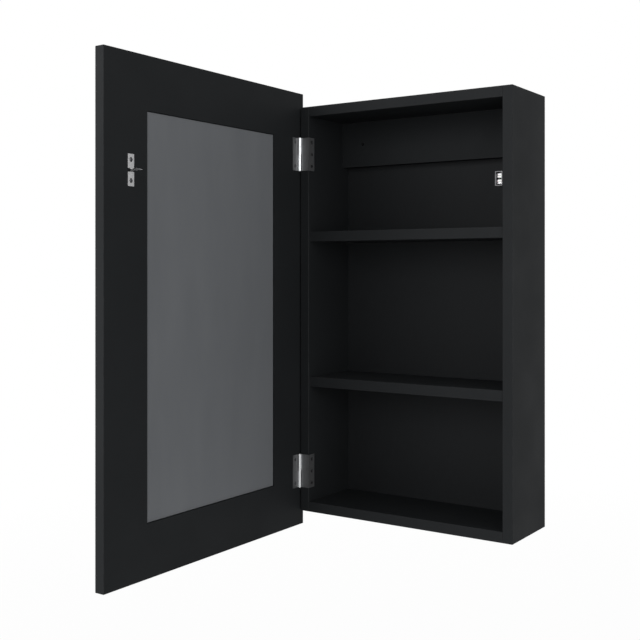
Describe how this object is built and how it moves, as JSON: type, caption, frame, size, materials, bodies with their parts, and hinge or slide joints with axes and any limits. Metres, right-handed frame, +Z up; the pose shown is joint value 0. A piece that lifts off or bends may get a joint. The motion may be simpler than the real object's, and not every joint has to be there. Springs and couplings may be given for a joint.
{
  "type": "medicine cabinet",
  "caption": "Shallow wall cabinet with a framed mirror door hinged at the left, fixed shelves, a hanging rail and a sprung roller catch.",
  "frame": {"origin": "midway between the two wall-screw holes of the hanging rail, on the wall plane", "axes": "+X to the user's right, +Y into the wall along the wall screws, +Z up; the door hangs at -X and stands open at rest"},
  "size_m": [0.3737, 0.4885, 0.66],
  "materials": {
    "black_board": "black melamine, fine matt grain",
    "black_back": "black lacquered hardboard",
    "beech": "bare fluted beech",
    "zinc": "die-cast zinc",
    "cap_plastic": "moulded black plastic",
    "nail_steel": "bare steel",
    "hinge_steel": "zinc plated, rolled",
    "screw_steel": "zinc plated",
    "dark_screw": "blackened steel",
    "catch_chrome": "bright plated steel",
    "spring_steel": "drawn wire",
    "nylon": "natural nylon",
    "mirror": "silvered float glass with a grey painted back",
    "foam_tape": "foam mounting tape"
  },
  "bodies": {
    "cabinet": {"left_side": "black_board", "right_side": "black_board", "top_board": "black_board", "bottom_board": "black_board", "upper_shelf": "black_board", "lower_shelf": "black_board", "back_board": "black_back", "hanging_rail": "black_board", "wood_dowels": "beech", "cam_bolts": "screw_steel", "cam_locks": "zinc", "cam_caps": "cap_plastic", "back_nails": "nail_steel", "upper_cabinet_leaf": "hinge_steel", "lower_cabinet_leaf": "hinge_steel", "upper_hinge_pin": "screw_steel", "lower_hinge_pin": "screw_steel", "upper_hinge_ring": "hinge_steel", "lower_hinge_ring": "hinge_steel", "cabinet_leaf_screws": "screw_steel", "catch_housing": "catch_chrome", "catch_screws": "screw_steel", "upper_roller_spring": "spring_steel", "lower_roller_spring": "spring_steel"},
    "door": {"door_frame": "black_board", "mirror_glass": "mirror", "mirror_tape": "foam_tape", "upper_door_leaf": "hinge_steel", "lower_door_leaf": "hinge_steel", "door_leaf_screws": "screw_steel", "strike_plate": "catch_chrome", "strike_screws": "dark_screw"},
    "upper_yoke": {"upper_roller_yoke": "catch_chrome", "upper_roller_axle": "screw_steel"},
    "lower_yoke": {"lower_roller_yoke": "catch_chrome", "lower_roller_axle": "screw_steel"},
    "upper_roller": {"upper_roller": "nylon"},
    "lower_roller": {"lower_roller": "nylon"}
  },
  "joints": [
    {"name": "door_swing", "type": "hinge", "parent": "cabinet", "child": "door", "pos_m": [-0.178, -0.1105, 0], "axis": [0, 0, 1], "range_deg": [-5, 90]},
    {"name": "upper_roller_slide", "type": "slide", "parent": "cabinet", "child": "upper_yoke", "axis": [0, 0, 1], "range_m": [0, 0.001], "stiffness_N_per_m": 2000, "springref_m": -0.001, "deforming": ["upper_roller_spring"]},
    {"name": "lower_roller_slide", "type": "slide", "parent": "cabinet", "child": "lower_yoke", "axis": [0, 0, -1], "range_m": [0, 0.001], "stiffness_N_per_m": 2000, "springref_m": -0.001, "deforming": ["lower_roller_spring"]},
    {"name": "upper_roller_spin", "type": "hinge", "parent": "upper_yoke", "child": "upper_roller", "pos_m": [0.15775, -0.1035, -0.0719], "axis": [1, 0, 0], "continuous": true},
    {"name": "lower_roller_spin", "type": "hinge", "parent": "lower_yoke", "child": "lower_roller", "pos_m": [0.15775, -0.1035, -0.0781], "axis": [1, 0, 0], "continuous": true}
  ]
}
